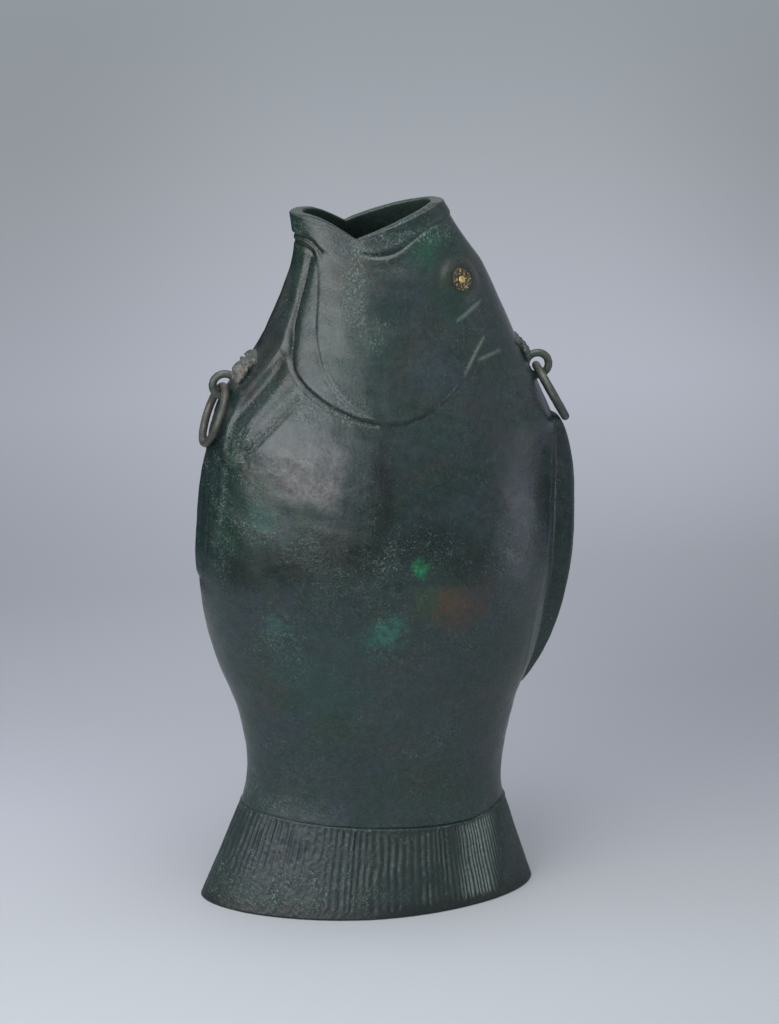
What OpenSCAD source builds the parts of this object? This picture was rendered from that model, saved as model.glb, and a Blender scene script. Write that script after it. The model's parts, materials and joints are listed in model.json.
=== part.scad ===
// A bronze wine vessel cast as a standing fish: the tail is the foot and the
// open mouth is the rim. X runs from the belly edge (-) to the back edge (+),
// Y is the thickness, and Z is up from the surface that the tail stands on.
// A body section is [belly reach, back reach, side reach, fullness]: how far
// the skin lies from the axis each way, and its rounding, where 2 is an ellipse.

/* [Whole vessel] */
// Height from the standing rim to the tip of the upper lip
vessel_h = 320; // [300:1:390]
// Thickness of the cast wall
wall = 2.5; // [2:0.1:3.2]

/* [Tail foot] */
// Section of the tail at the standing rim
foot_reach = [83.4, 66, 39.5, 1.8];
// Height of the ribbed tail, up to its step line
tail_h = 42; // [36:1:52]
// Section of the body at the step line
tail_reach = [66.3, 53.4, 33.8, 1.9];
// How far the tail stands proud of the body at the step line
tail_step = 1; // [0.6:0.1:2]
// Thickness of the tail's wall
tail_wall = 3.2; // [2.5:0.1:5]
// Number of fin rays around the tail
ray_count = 184; // [60:2:220]
// Depth of the groove between two rays
ray_depth = 0.6; // [0.2:0.1:1]
// Height of the plain band under the rays
plain_band_h = 4; // [2:0.5:10]

/* [Floor and spigot] */
// Length of the body's spigot inside the tail
spigot_l = 6; // [4:0.5:9]
// How far the spigot is set in from the body's skin
spigot_inset = 0.8; // [0.4:0.1:1.2]
// Width of the ledge inside the tail that carries the floor
ledge_w = 2.2; // [1.5:0.1:4]
// Thickness of that ledge
ledge_t = 5; // [3:0.5:8]
// Thickness of the floor plate
floor_t = 2.5; // [1.5:0.1:4]
// Clearance around the spigot and the floor plate
seat_gap = 0.05; // [0.02:0.01:0.2]

/* [Body sections] */
// Height of the waist above the tail
waist_z = 62; // [56:1:72]
// Section at the waist
waist_reach = [62.5, 53, 33.8, 1.95];
// Height of the lower body
groin_z = 90; // [82:1:98]
// Section at the lower body
groin_reach = [67, 58.8, 38, 2];
// Height of the loin
loin_z = 115; // [108:1:124]
// Section at the loin
loin_reach = [76.3, 67.7, 43.5, 2.1];
// Height of the lower belly
paunch_z = 142; // [136:1:150]
// Section at the lower belly
paunch_reach = [82, 72.6, 48, 2.15];
// Height of the widest part of the belly
belly_z = 172; // [164:1:182]
// Section at the widest part of the belly
belly_reach = [82.8, 74.6, 50, 2.2];
// Height of the shoulder
shoulder_z = 217; // [208:1:222]
// Section at the shoulder
shoulder_reach = [78, 74.3, 47.5, 2.15];
// Height of the lower gill line
gill_z = 232; // [228:1:238]
// Section at the lower gill line
gill_reach = [72.6, 68.9, 44.5, 2.1];
// Height of the nape
nape_z = 252; // [246:1:258]
// Section at the nape
nape_reach = [59.2, 59.6, 39, 2];
// Height of the cheek
cheek_z = 290; // [284:1:294]
// Section at the cheek
cheek_reach = [42.5, 43, 25, 1.95];
// Height of the snout below the tip of the upper lip
snout_drop = 15; // [10:1:20]
// Section at the snout
snout_reach = [39.8, 33, 18.5, 2];
// Section at the tip of the lips
lip_reach = [41.5, 24.2, 12.9, 2];

/* [Mouth] */
// Depth of the notch between the lips, below the upper lip
notch_drop = 11.5; // [6:0.5:16]
// Place of the notch along X
notch_x = -16; // [-24:0.5:-8]
// How far the lower lip's tip is below the upper lip's tip
lower_lip_drop = 2; // [0:0.5:6]
// Thickness of the wall at the lips
lip_wall = 2; // [1.6:0.1:3]
// How much thicker the wall is at the tips of the two lips
lip_tip_extra = 3; // [0:0.1:4]
// How far the lip bands stand proud
lip_proud = 0.8; // [0.3:0.1:1.5]

/* [Gill covers and side fins] */
// How far the gill cover stands proud at its rear edge
gill_proud = 1; // [0.4:0.1:1.6]
// How far the inner cheek plate stands proud of the gill cover
plate_proud = 0.6; // [0.2:0.1:1]
// How far the side fin stands proud
side_fin_proud = 1.3; // [0.5:0.1:2]

/* [Back and belly fins] */
// Height of the back fin off the body
back_fin_h = 10.2; // [4:0.1:12]
// Lowest point of the back fin
back_fin_z = 93; // [86:1:110]
// Height of the belly fin off the body
belly_fin_h = 1.7; // [1:0.1:5]
// Lowest point of the belly fin
belly_fin_z = 153; // [140:1:165]
// Highest point of the back fin
back_fin_top_z = 221; // [205:1:224]
// Highest point of the belly fin
belly_fin_top_z = 212; // [200:1:216]
// Thickness of the fins at the body
fin_root_t = 9; // [6:0.5:12]
// Thickness of the fins at their edge
fin_edge_t = 3; // [2:0.1:5]

/* [Eyes] */
// Place of the eye along X
eye_x = 29.9; // [26:0.1:32]
// Height of the eye
eye_z = 288.8; // [284:0.1:292]
// Radius of the raised socket
socket_r = 6.6; // [6.2:0.1:8]
// Radius of the inlaid ring
inlay_r = 5; // [4:0.1:5.6]
// Thickness of the inlaid ring
inlay_t = 1.3; // [0.8:0.1:1.5]
// Radius of the pupil
pupil_r = 1.65; // [1:0.05:2.5]
// How far the pupil stands proud of its ring
pupil_proud = 0.4; // [0.1:0.1:1]
// Clearance around the inlays
inlay_gap = 0.04; // [0.02:0.01:0.1]

/* [Lugs] */
// Height of the back lug's loop
back_loop_z = 243; // [238:0.5:247]
// Distance of that loop's centre from the body's edge
back_loop_out = 3.5; // [3.4:0.1:5]
// Height of the belly lug's loop
belly_loop_z = 240.6; // [237:0.1:246]
// Distance of that loop's centre from the body's edge
belly_loop_out = 4.2; // [3.4:0.1:5]
// Radius of the loop's hole
loop_hole_r = 3.3; // [3:0.1:4]
// Thickness of the loop
loop_t = 3.6; // [2.8:0.1:4.2]
// Width of the mask
mask_w = 16; // [12:0.5:20]
// Height of the mask above the loop's centre
mask_h = 15.5; // [12:0.5:17]

/* [Rings] */
// Outside diameter of a ring
ring_d = 29.6; // [27:0.2:32]
// Thickness of a ring
ring_t = 3.6; // [3.2:0.1:4.4]
// Clearance between a ring and what it hangs on or leans against
ring_gap = 0.3; // [0.2:0.05:0.4]

/* [Hidden] */

// How finely the skins are stepped around and along the body
outer_sides = 48;
inner_sides = 32;
outer_step = 9.5;
inner_step = 20;
fin_rings = 18;
over = 1;
far = 2 * vessel_h;
bronze = [0.20, 0.28, 0.26];
dark_bronze = [0.27, 0.27, 0.25];
gold = [0.72, 0.58, 0.25];

seat_z = tail_h - spigot_l;
// Height over which a groove between two rays runs out
ray_run = 1.5;
// Height of the plain edge above the rays
ray_top = 2;

// The cheek plates sink into the skin at this height, over this length
plate_top_z = cheek_z + 10;
plate_fade = 30;
// How far the socket's flat face stands out of the skin
socket_top = 0.9;

// How bluntly the fins end, at the top and at the bottom, and how deep they root
fin_top_taper = 2.6;
back_fin_taper = 1.5;
belly_fin_taper = 8;
fin_sink = 4;

// A mask's rounding, the bead on its brow, its chin, and how deep it roots
mask_round = 2.2;
bead_r = 1.5;
chin_z = -1.5;
lug_sink = 5;
lug_block = 50;

ring_r = ring_t / 2;
ring_turn_r = ring_d / 2 - ring_r;
loop_turn_r = loop_hole_r + loop_t / 2;
ring_sag = loop_hole_r - ring_r - ring_gap;

// The sections of the body from the standing rim to the lips
sections = [
    concat([0], foot_reach),
    concat([tail_h], tail_reach),
    concat([waist_z], waist_reach),
    concat([groin_z], groin_reach),
    concat([loin_z], loin_reach),
    concat([paunch_z], paunch_reach),
    concat([belly_z], belly_reach),
    concat([shoulder_z], shoulder_reach),
    concat([gill_z], gill_reach),
    concat([nape_z], nape_reach),
    concat([cheek_z], cheek_reach),
    concat([vessel_h - snout_drop], snout_reach),
    concat([vessel_h], lip_reach)
];

// A smooth curve through the sections, one column at a time
function last(s) = len(s) - 1;
function slope(s, i, c) =
    let(a = max(i - 1, 0), b = min(i + 1, last(s)))
    (s[b][c] - s[a][c]) / (s[b][0] - s[a][0]);
function span(s, z, i = 0) = i >= last(s) - 1 || z < s[i + 1][0] ? i : span(s, z, i + 1);
function column(s, z, c) =
    let(i = span(s, z), h = s[i + 1][0] - s[i][0], t = (z - s[i][0]) / h)
    (1 + 2 * t) * (1 - t) ^ 2 * s[i][c] + t * (1 - t) ^ 2 * h * slope(s, i, c)
    + t * t * (3 - 2 * t) * s[i + 1][c] + t * t * (t - 1) * h * slope(s, i + 1, c);
function section(z) = [for (c = [1:4]) column(sections, z, c)];

// The body's edge along X: side is 1 for the back and -1 for the belly
function edge(z, side) = side * section(z)[side > 0 ? 1 : 0];

// One closed section, as points [x, y]
function signed_pow(v, p) = sign(v) * abs(v) ^ p;
function outline(s, grow, angles) =
    let(a = (s[0] + s[1]) / 2 + grow, mid = (s[1] - s[0]) / 2, b = s[2] + grow, p = 2 / s[3])
    [for (t = angles) [mid + a * signed_pow(cos(t), p), b * signed_pow(sin(t), p)]];
function steps(n) = [for (i = [0:n - 1]) 360 * i / n];
function heights(low, high, step) =
    let(n = max(1, ceil((high - low) / step)))
    [for (i = [0:n]) low + (high - low) * i / n];

// Half the body's thickness at a point of its side
function side_y(x, z) =
    let(s = section(z), a = (s[0] + s[1]) / 2, mid = (s[1] - s[0]) / 2)
    s[2] * max(0, 1 - abs((x - mid) / a) ^ s[3]) ^ (1 / s[3]);

// A closed solid through a stack of rings with equally many points
module skin(rings) {
    n = len(rings[0]);
    m = len(rings);
    walls = [for (j = [0:m - 2], i = [0:n - 1])
        [j * n + i, (j + 1) * n + i, (j + 1) * n + (i + 1) % n, j * n + (i + 1) % n]];
    bottom = [for (i = [0:n - 1]) i];
    top = [for (i = [n - 1:-1:0]) (m - 1) * n + i];
    polyhedron([for (ring = rings) each ring], concat([bottom], walls, [top]), 10);
}

// The body's skin over the rings that span two heights, moved out by grow(z)
function rings_between(low, high) =
    let(all = heights(tail_h, vessel_h, outer_step), pitch = all[1] - all[0])
    [for (z = all) if (z > low - pitch && z < high + pitch) z];
module form(low, high, grow = function (z) 0) {
    skin([for (z = rings_between(low, high))
        [for (p = outline(section(z), grow(z), steps(outer_sides))) [p[0], p[1], z]]]);
}

// A straight plate with the body's section at one height
module slab(z, grow, low, high, sides = outer_sides) {
    translate([0, 0, low])
        linear_extrude(high - low)
            polygon(outline(section(z), grow, steps(sides)));
}

// A smooth closed outline through a few points
function bend(a, b, c, d, t) =
    0.5 * (2 * b + (c - a) * t + (2 * a - 5 * b + 4 * c - d) * t ^ 2 + (3 * b - a - 3 * c + d) * t ^ 3);
function smooth(p, parts = 4) =
    let(n = len(p))
    [for (i = [0:n - 1], k = [0:parts - 1])
        bend(p[(i + n - 1) % n], p[i], p[(i + 1) % n], p[(i + 2) % n], k / parts)];

// An outline in the XZ plane, pushed through the body's whole thickness
module through(points) {
    rotate([90, 0, 0])
        linear_extrude(far, center = true)
            polygon(points);
}

// Outlines on the fish's side, as [x, z], with the mouth's measured from its top
gill_outline = smooth([
    [-37, 300], [-37.5, 282], [-43.8, 258], [-31, 241.5],
    [-10, 233.5], [8, 235.5], [26, 248.5], [39, 266], [40, 284], [20, 300]
]);
plate_outline = smooth([
    [-32.5, 299], [-33, 282], [-33, 262], [-24, 245.5],
    [-9.5, 236.5], [6, 243], [17, 258], [16, 280], [4, 298]
]);
side_fin_outline = smooth([
    [-41, 258], [-54, 247], [-65.5, 233.5], [-72, 220],
    [-69.5, 214.5], [-59, 221], [-47, 234.5], [-37, 247]
]);
lip_band_outline = [
    [notch_x - 4, vessel_h - 8], [notch_x + 4, vessel_h - 16.5], [notch_x + 12, vessel_h - 17.5],
    [notch_x + 18, vessel_h - 15.5], [20, vessel_h - 8], [34, vessel_h - 2],
    [34, vessel_h + over], [notch_x - 4, vessel_h + over]
];
chin_band_outline = [
    [-60, vessel_h - 10], [-36, vessel_h - 9], [-27, vessel_h - 12.5], [notch_x - 2, vessel_h - 15],
    [notch_x, vessel_h - notch_drop], [notch_x, vessel_h + over], [-60, vessel_h + over]
];
mouth_outline = [
    [-far, vessel_h - lower_lip_drop], [-lip_reach[0], vessel_h - lower_lip_drop],
    [notch_x - 3, vessel_h - notch_drop + 0.8], [notch_x, vessel_h - notch_drop],
    [notch_x + 3, vessel_h - notch_drop + 0.6], [lip_reach[1], vessel_h],
    [far, vessel_h], [far, vessel_h + far], [-far, vessel_h + far]
];

// A fin of the back (side 1) or the belly (side -1). Its height follows a
// rounded profile, and it thins from its root to its edge.
function fin_low(side) = side > 0 ? back_fin_z : belly_fin_z;
function fin_top(side) = side > 0 ? back_fin_top_z : belly_fin_top_z;
function fin_h(side) = side > 0 ? back_fin_h : belly_fin_h;
function fin_taper(side, upper) = upper ? fin_top_taper : side > 0 ? back_fin_taper : belly_fin_taper;
function fin_share(side, z) =
    let(t = (z - fin_low(side)) / (fin_top(side) - fin_low(side)))
    sqrt(max(0, 1 - abs(2 * t - 1) ^ fin_taper(side, t > 0.5)));
function fin_reach(side, z) = abs(edge(z, side)) + fin_h(side) * fin_share(side, z);
module fin(side) {
    skin([for (i = [0:fin_rings])
        let(z = fin_low(side) + (fin_top(side) - fin_low(side)) * (1 - cos(180 * i / fin_rings)) / 2,
            root = abs(edge(z, side)), f = fin_share(side, z), w = fin_root_t / 2 * (0.3 + 0.7 * f))
        [for (p = [[root - fin_sink, -w], [root, -w * 0.8], [fin_reach(side, z), -fin_edge_t / 2],
            [fin_reach(side, z), fin_edge_t / 2], [root, w * 0.8], [root - fin_sink, w]])
            [side * p[0], side * p[1], z]]]);
}

// A frame on the skin at the eye: Z points out of the skin. Side 1 is +Y.
module at_eye(side) {
    d = 0.5;
    nx = (side_y(eye_x - d, eye_z) - side_y(eye_x + d, eye_z)) / (2 * d);
    nz = (side_y(eye_x, eye_z - d) - side_y(eye_x, eye_z + d)) / (2 * d);
    translate([eye_x, side * side_y(eye_x, eye_z), eye_z])
        rotate([0, acos(nz / norm([nx, 1, nz])), atan2(side, nx)])
            children();
}

module cavity() {
    levels = concat([seat_z - over], heights(tail_h, vessel_h - snout_drop, inner_step), [vessel_h + over]);
    skin([for (z = levels)
        let(s = section(min(max(z, tail_h), vessel_h)), at_lips = z > vessel_h - snout_drop,
            inner = at_lips ? s - [lip_tip_extra, lip_tip_extra, 0, 0] : s)
        [for (p = outline(inner, at_lips ? -lip_wall : -wall, steps(inner_sides))) [p[0], p[1], z]]]);
}

module fish_body() {
    fade = function (z) min(1, max(0, (plate_top_z - z) / plate_fade));
    color(bronze)
        resize([0, 0, 0])
            difference() {
                union() {
                    form(tail_h, vessel_h);
                    slab(tail_h, -spigot_inset, seat_z, tail_h + over / 2);
                    intersection() {
                        form(gill_z - 6, plate_top_z, function (z) gill_proud * fade(z));
                        through(gill_outline);
                    }
                    intersection() {
                        form(gill_z - 2, plate_top_z, function (z) (gill_proud + plate_proud) * fade(z));
                        through(plate_outline);
                    }
                    intersection() {
                        form(shoulder_z - 8, nape_z + 10, function (z) side_fin_proud);
                        through(side_fin_outline);
                    }
                    intersection() {
                        form(vessel_h - 20, vessel_h, function (z) lip_proud);
                        union() {
                            through(lip_band_outline);
                            through(chin_band_outline);
                        }
                    }
                    fin(1);
                    fin(-1);
                    for (side = [-1, 1])
                        at_eye(side)
                            translate([0, 0, -wall])
                                cylinder(h = wall + socket_top, r = socket_r, $fn = 32);
                }
                cavity();
                through(mouth_outline);
                for (side = [-1, 1])
                    at_eye(side)
                        translate([0, 0, socket_top - inlay_t])
                            cylinder(h = far, r = inlay_r + 2 * inlay_gap, $fn = 48);
            }
}

// Evenly spaced points around a section: the angle at each share of its girth
function girths(s, n) = [for (i = 0, p = outline(s, 0, [0])[0], g = 0; i <= n;
    i = i + 1, q = outline(s, 0, [360 * i / n])[0], g = g + norm(q - p), p = q) [g, 360 * i / n]];
function even_angles(s, n) =
    let(table = girths(s, 720), whole = table[720][0])
    [for (i = [0:n - 1]) lookup(whole * i / n, table)];

module tail_foot() {
    points = 2 * ray_count;
    angles = even_angles(section(tail_h / 2), points);
    levels = [0, plain_band_h, plain_band_h + ray_run, tail_h / 2, tail_h - ray_top - over, tail_h];
    groove = function (z) z > plain_band_h && z < tail_h - ray_top ? ray_depth : 0;
    color(bronze)
        resize([0, 0, 0])
            difference() {
                skin([for (z = levels)
                    let(s = section(z), ridge = outline(s, tail_step, angles),
                        valley = outline(s, tail_step - groove(z), angles))
                    [for (i = [0:points - 1]) let(p = i % 2 == 0 ? ridge[i] : valley[i]) [p[0], p[1], z]]]);
                slab(tail_h, seat_gap - spigot_inset, seat_z, tail_h + over);
                slab(tail_h, -wall - ledge_w, seat_z - ledge_t - over, seat_z + over);
                skin([for (z = [-over, 0, 8, 18, seat_z - ledge_t])
                    let(inner = outline(section(max(z, 0)), tail_step - tail_wall, steps(inner_sides)))
                    [for (p = inner) [p[0], p[1], z]]]);
            }
}

module floor_plate() {
    color(bronze)
        slab(tail_h, -wall - seat_gap, seat_z, seat_z + floor_t, inner_sides);
}

// The block of the body that a lug sits on, as far as the lug reaches
module lug_seat(side, z) {
    resize([0, 0, 0])
        intersection() {
            form(z - lug_block / 2, z + lug_block / 2);
            translate([side * (abs(edge(z, side)) - lug_sink), 0, z])
                cube([lug_block, mask_w + 2 * lug_sink, lug_block], center = true);
        }
}

// A lug: an animal mask that holds a loop in its mouth. Its frame has its
// origin at the loop's centre, with +X outwards. The mask's front is a steep
// face from the nose down to the chin, and its brow slopes back to the body.
module lug(side, z, out) {
    skin_x = function (h) abs(edge(z + h, side)) - abs(edge(z, side)) - out;
    front_x = -loop_hole_r - 0.1 - mask_round;
    nose = [front_x, 0, loop_turn_r + loop_t / 2 + 1.5];
    brow = [skin_x(mask_h) + 0.6, 0, mask_h - mask_round];
    color(dark_bronze)
        difference() {
            translate([side * (abs(edge(z, side)) + out), 0, z])
                mirror([side < 0 ? 1 : 0, 0, 0]) {
                    rotate([90, 0, 0])
                        rotate_extrude($fn = 64)
                            translate([loop_turn_r, 0])
                                circle(d = loop_t, $fn = 32);
                    hull()
                        for (s = [-1, 1]) {
                            translate(brow + [0, s * (mask_w / 2 - mask_round), 0])
                                sphere(r = mask_round, $fn = 20);
                            translate(nose + [0, s * mask_w / 5, 0])
                                sphere(r = mask_round, $fn = 20);
                            translate([front_x, s * mask_w / 7, chin_z])
                                sphere(r = mask_round, $fn = 20);
                            translate([-out - mask_round, s * (mask_w / 2 - 3), 1])
                                sphere(r = mask_round, $fn = 20);
                        }
                    for (s = [-1, 1], k = [0:2])
                        translate(brow + (nose - brow) * k / 2 + [0.4, s * mask_w * (0.4 - 0.1 * k), 1.3])
                            sphere(r = bead_r - 0.1 * k);
                }
            lug_seat(side, z);
        }
}

module back_lug() {
    lug(1, back_loop_z, back_loop_out);
}

module belly_lug() {
    lug(-1, belly_loop_z, belly_loop_out);
}

// The lean of a hanging ring: the first angle from plumb at which its lowest
// turn clears the edge of the body and its fin
function ring_room(side, low) =
    min([for (z = [low[1] - 8:0.5:low[1] + 8]) norm([fin_reach(side, z), z] - low)])
    * (low[0] > fin_reach(side, low[1]) ? 1 : -1) - ring_r;
function ring_lean(side, hook, lean = 0) =
    let(low = hook + 2 * ring_turn_r * [sin(lean), -cos(lean)])
    lean >= 60 || ring_room(side, low) >= ring_gap ? lean : ring_lean(side, hook, lean + 0.25);

// A ring that hangs in a loop and leans against the body
module ring(side, z, out) {
    hook = [abs(edge(z, side)) + out, z - ring_sag];
    lean = ring_lean(side, hook);
    color(dark_bronze)
        translate([side * hook[0], 0, hook[1]])
            rotate([0, -side * lean, 0])
                translate([0, 0, -ring_turn_r])
                    rotate([0, 90, 0])
                        rotate_extrude($fn = 96)
                            translate([ring_turn_r, 0])
                                circle(r = ring_r, $fn = 40);
}

module back_ring() {
    ring(1, back_loop_z, back_loop_out);
}

module belly_ring() {
    ring(-1, belly_loop_z, belly_loop_out);
}

module eye_inlay(side) {
    color(gold)
        at_eye(side)
            translate([0, 0, socket_top - inlay_t])
                difference() {
                    cylinder(h = inlay_t, r = inlay_r, $fn = 64);
                    translate([0, 0, -over])
                        cylinder(h = inlay_t + 2 * over, r = pupil_r + inlay_gap, $fn = 48);
                }
}

module pupil(side) {
    color(gold)
        at_eye(side)
            translate([0, 0, socket_top - inlay_t])
                cylinder(h = inlay_t + pupil_proud, r = pupil_r, $fn = 48);
}

module left_eye_inlay() {
    eye_inlay(-1);
}

module right_eye_inlay() {
    eye_inlay(1);
}

module left_pupil() {
    pupil(-1);
}

module right_pupil() {
    pupil(1);
}

fish_body();
tail_foot();
floor_plate();
back_lug();
belly_lug();
back_ring();
belly_ring();
left_eye_inlay();
right_eye_inlay();
left_pupil();
right_pupil();
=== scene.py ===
"""The looks of the fish vessel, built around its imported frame.

Lengths are in millimetres until a mesh is made. X runs from the belly edge to
the back edge of the fish, Y runs through its thickness and Z is up. The two
sides are mirror images, so lines of relief are given once, for both.
"""
import json
import math

import bpy
import numpy as np
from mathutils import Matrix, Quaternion, Vector


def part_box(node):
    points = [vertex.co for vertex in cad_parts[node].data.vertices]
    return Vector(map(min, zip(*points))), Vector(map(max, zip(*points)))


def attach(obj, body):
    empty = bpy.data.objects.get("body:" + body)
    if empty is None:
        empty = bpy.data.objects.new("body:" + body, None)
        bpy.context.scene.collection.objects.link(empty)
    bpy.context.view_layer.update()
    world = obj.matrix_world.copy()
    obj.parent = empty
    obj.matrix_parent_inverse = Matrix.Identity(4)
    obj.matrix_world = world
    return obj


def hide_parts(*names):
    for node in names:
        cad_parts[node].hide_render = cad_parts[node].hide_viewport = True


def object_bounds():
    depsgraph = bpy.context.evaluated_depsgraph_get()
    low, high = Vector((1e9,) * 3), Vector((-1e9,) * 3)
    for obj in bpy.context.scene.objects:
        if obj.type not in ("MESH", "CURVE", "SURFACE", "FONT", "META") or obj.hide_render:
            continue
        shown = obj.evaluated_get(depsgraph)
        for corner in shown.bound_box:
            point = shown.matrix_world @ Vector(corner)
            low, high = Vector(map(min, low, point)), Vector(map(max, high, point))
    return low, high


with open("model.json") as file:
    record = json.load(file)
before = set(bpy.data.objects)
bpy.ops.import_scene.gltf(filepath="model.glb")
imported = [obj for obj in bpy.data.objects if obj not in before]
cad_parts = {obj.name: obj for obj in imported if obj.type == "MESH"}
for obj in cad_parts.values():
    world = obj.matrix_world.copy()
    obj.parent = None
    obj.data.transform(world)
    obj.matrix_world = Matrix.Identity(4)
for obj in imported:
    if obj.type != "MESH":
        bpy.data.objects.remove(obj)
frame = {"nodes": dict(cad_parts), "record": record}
cad_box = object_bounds()

MM = 0.001
# Heights of the upper lip's tip and of the vessel's floor
TIP_Z, FLOOR_Z = 320.0, 36.2
# The wall, the wall at the lips and how much thicker it is at the lips' tips
WALL, LIP_WALL, TIP_EXTRA = 2.5, 2.0, 3.0
# Middle and half length of the mouth along X
MOUTH_MID, MOUTH_HALF = -9.0, 33.0
# A distance that stands for out of reach
FAR_OFF = 1e6

# Height, belly reach, back reach, side reach and fullness of the body
SECTIONS = np.array([
    [0, 83.4, 66, 39.5, 1.8],
    [42, 66.3, 53.4, 33.8, 1.9],
    [62, 62.5, 53, 33.8, 1.95],
    [90, 67, 58.8, 38, 2],
    [115, 76.3, 67.7, 43.5, 2.1],
    [142, 82, 72.6, 48, 2.15],
    [172, 82.8, 74.6, 50, 2.2],
    [217, 78, 74.3, 47.5, 2.15],
    [232, 72.6, 68.9, 44.5, 2.1],
    [252, 59.2, 59.6, 39, 2],
    [290, 42.5, 43, 25, 1.95],
    [305, 39.8, 33, 18.5, 2],
    [320, 41.5, 24.2, 12.9, 2],
])


def unit(v):
    """Rows of v at length 1."""
    return v / np.linalg.norm(v, axis=1, keepdims=True)


def signed_power(v, power):
    """A power of the size of v, with the sign of v."""
    return np.sign(v) * np.abs(v) ** power


def smoothstep(low, high, v):
    """From 0 at low to 1 at high, with soft ends. Low may be the greater one."""
    t = np.clip((v - low) / (high - low), 0, 1)
    return t * t * (3 - 2 * t)


def section(z):
    """The body's section at each height, on a smooth curve through SECTIONS."""
    z = np.asarray(z, float)
    h, v = SECTIONS[:, 0], SECTIONS[:, 1:]
    a = np.maximum(np.arange(len(h)) - 1, 0)
    b = np.minimum(np.arange(len(h)) + 1, len(h) - 1)
    slope = (v[b] - v[a]) / (h[b] - h[a])[:, None]
    i = np.clip(np.searchsorted(h, z, side="right") - 1, 0, len(h) - 2)
    d = (h[i + 1] - h[i])[..., None]
    t = (z - h[i])[..., None] / d
    s = ((1 + 2 * t) * (1 - t) ** 2 * v[i] + t * (1 - t) ** 2 * d * slope[i]
         + t * t * (3 - 2 * t) * v[i + 1] + t * t * (t - 1) * d * slope[i + 1])
    return np.moveaxis(s, -1, 0)


def oval(z):
    """Half the length, middle, half the thickness and fullness of the body's section."""
    belly, back, b, n = section(z)
    return (belly + back) / 2, (back - belly) / 2, b, n


def side_y(x, z):
    """Half the body's thickness at a point of its side."""
    a, mid, b, n = oval(z)
    return b * np.maximum(0, 1 - np.abs((x - mid) / a) ** n) ** (1 / n)


def spline(points, step=1.5):
    """A smooth curve through a few points, stepped evenly."""
    p = np.asarray(points, float)
    q = np.vstack([2 * p[0] - p[1], p, 2 * p[-1] - p[-2]])
    out = []
    for i in range(1, len(q) - 2):
        n = max(2, int(np.linalg.norm(q[i + 1] - q[i]) / step))
        t = (np.arange(n) / n)[:, None]
        out.append(0.5 * (2 * q[i] + (q[i + 1] - q[i - 1]) * t
                          + (2 * q[i - 1] - 5 * q[i] + 4 * q[i + 1] - q[i + 2]) * t ** 2
                          + (3 * q[i] - q[i - 1] - 3 * q[i + 1] + q[i + 2]) * t ** 3))
    out.append(p[-1:])
    return np.vstack(out)


def on_skin(points):
    """A line of relief, given as [x, z], laid on the +Y side of the skin."""
    c = spline(points)
    return np.stack([c[:, 0], side_y(c[:, 0], c[:, 1]), c[:, 1]], 1)


def lengths(line):
    """Length along a polyline up to each of its points."""
    return np.concatenate([[0], np.cumsum(np.linalg.norm(np.diff(line, axis=0), axis=1))])


def near_line(p, line, reach):
    """Distance of each point to a line, and the share of the line's length there."""
    d, u = np.full(len(p), FAR_OFF), np.zeros(len(p))
    box = np.all((p > line.min(0) - reach) & (p < line.max(0) + reach), 1)
    q = p[box]
    length = lengths(line)
    best, share = np.full(len(q), FAR_OFF), np.zeros(len(q))
    for i in range(len(line) - 1):
        e = line[i + 1] - line[i]
        t = np.clip((q - line[i]) @ e / (e @ e), 0, 1)
        r = np.linalg.norm(q - line[i] - t[:, None] * e, axis=1)
        k = r < best
        best[k] = r[k]
        share[k] = (length[i] + t[k] * (length[i + 1] - length[i])) / length[-1]
    d[box], u[box] = best, share
    return d, u


def inside(x, z, outline):
    """Whether points lie in a closed outline, by counting crossings."""
    hit = np.zeros(len(x), bool)
    for (x0, z0), (x1, z1) in zip(outline, np.roll(outline, -1, axis=0)):
        if z0 != z1:
            k = (z0 > z) != (z1 > z)
            hit ^= k & (x < (x1 - x0) * (z - z0) / (z1 - z0) + x0)
    return hit


def swell(p, size, seed):
    """A smooth uneven field, about -1 to 1, with waves of about the given size."""
    rng = np.random.default_rng(seed)
    waves, out = 9, np.zeros(len(p))
    for _ in range(waves):
        k = rng.normal(size=3)
        k *= 2 * math.pi / size / np.linalg.norm(k) * rng.uniform(0.6, 1.5)
        out += np.sin(p @ k + rng.uniform(0, 2 * math.pi))
    return out / (waves / 2)


class Relief:
    """What stands out of the plain skin, and where it is pale with crust, dark with dirt and
    painted shade, and pale with rubbed metal and painted light.
    """

    def __init__(self, p):
        self.p = p
        self.h, self.pale, self.dark, self.rubbed_and_painted_light = np.zeros((4, len(p)))

    def line(self, points, height, width, fade, pale=0.0, dark=0.0, rubbed_and_painted_light=0.0):
        """A rounded ridge along a line, or a groove where the height is negative.
        Fade is the share of the line over which each end dies out."""
        d, u = near_line(self.p, on_skin(points), 4 * width)
        ends = np.clip(np.minimum(u / fade[0], (1 - u) / fade[1]), 0, 1)
        bell = np.exp(-(d / width) ** 2) * ends * (2 - ends)
        self.h += height * bell
        for mark, most in ((self.pale, pale), (self.dark, dark), (self.rubbed_and_painted_light, rubbed_and_painted_light)):
            np.maximum(mark, most * bell, out=mark)

    def plate(self, points, height, edge, share=1.0):
        """A region that stands proud inside a closed outline, with a soft edge."""
        line = on_skin(np.vstack([points, points[:1]]))
        d, _ = near_line(self.p, line, 3 * edge)
        sign = np.where(inside(self.p[:, 0], self.p[:, 2], line[:, ::2]), 1, -1)
        self.h += height * share * smoothstep(-edge / 2, edge / 2, sign * d)

    def cloud(self, mark, x, z, across, along, strength):
        """A cloud of a mark round a place on the side."""
        d = np.hypot((self.p[:, 0] - x) / across, (self.p[:, 2] - z) / along)
        np.maximum(mark, strength * (1 - smoothstep(0.3, 1.2, d)), out=mark)


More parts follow.
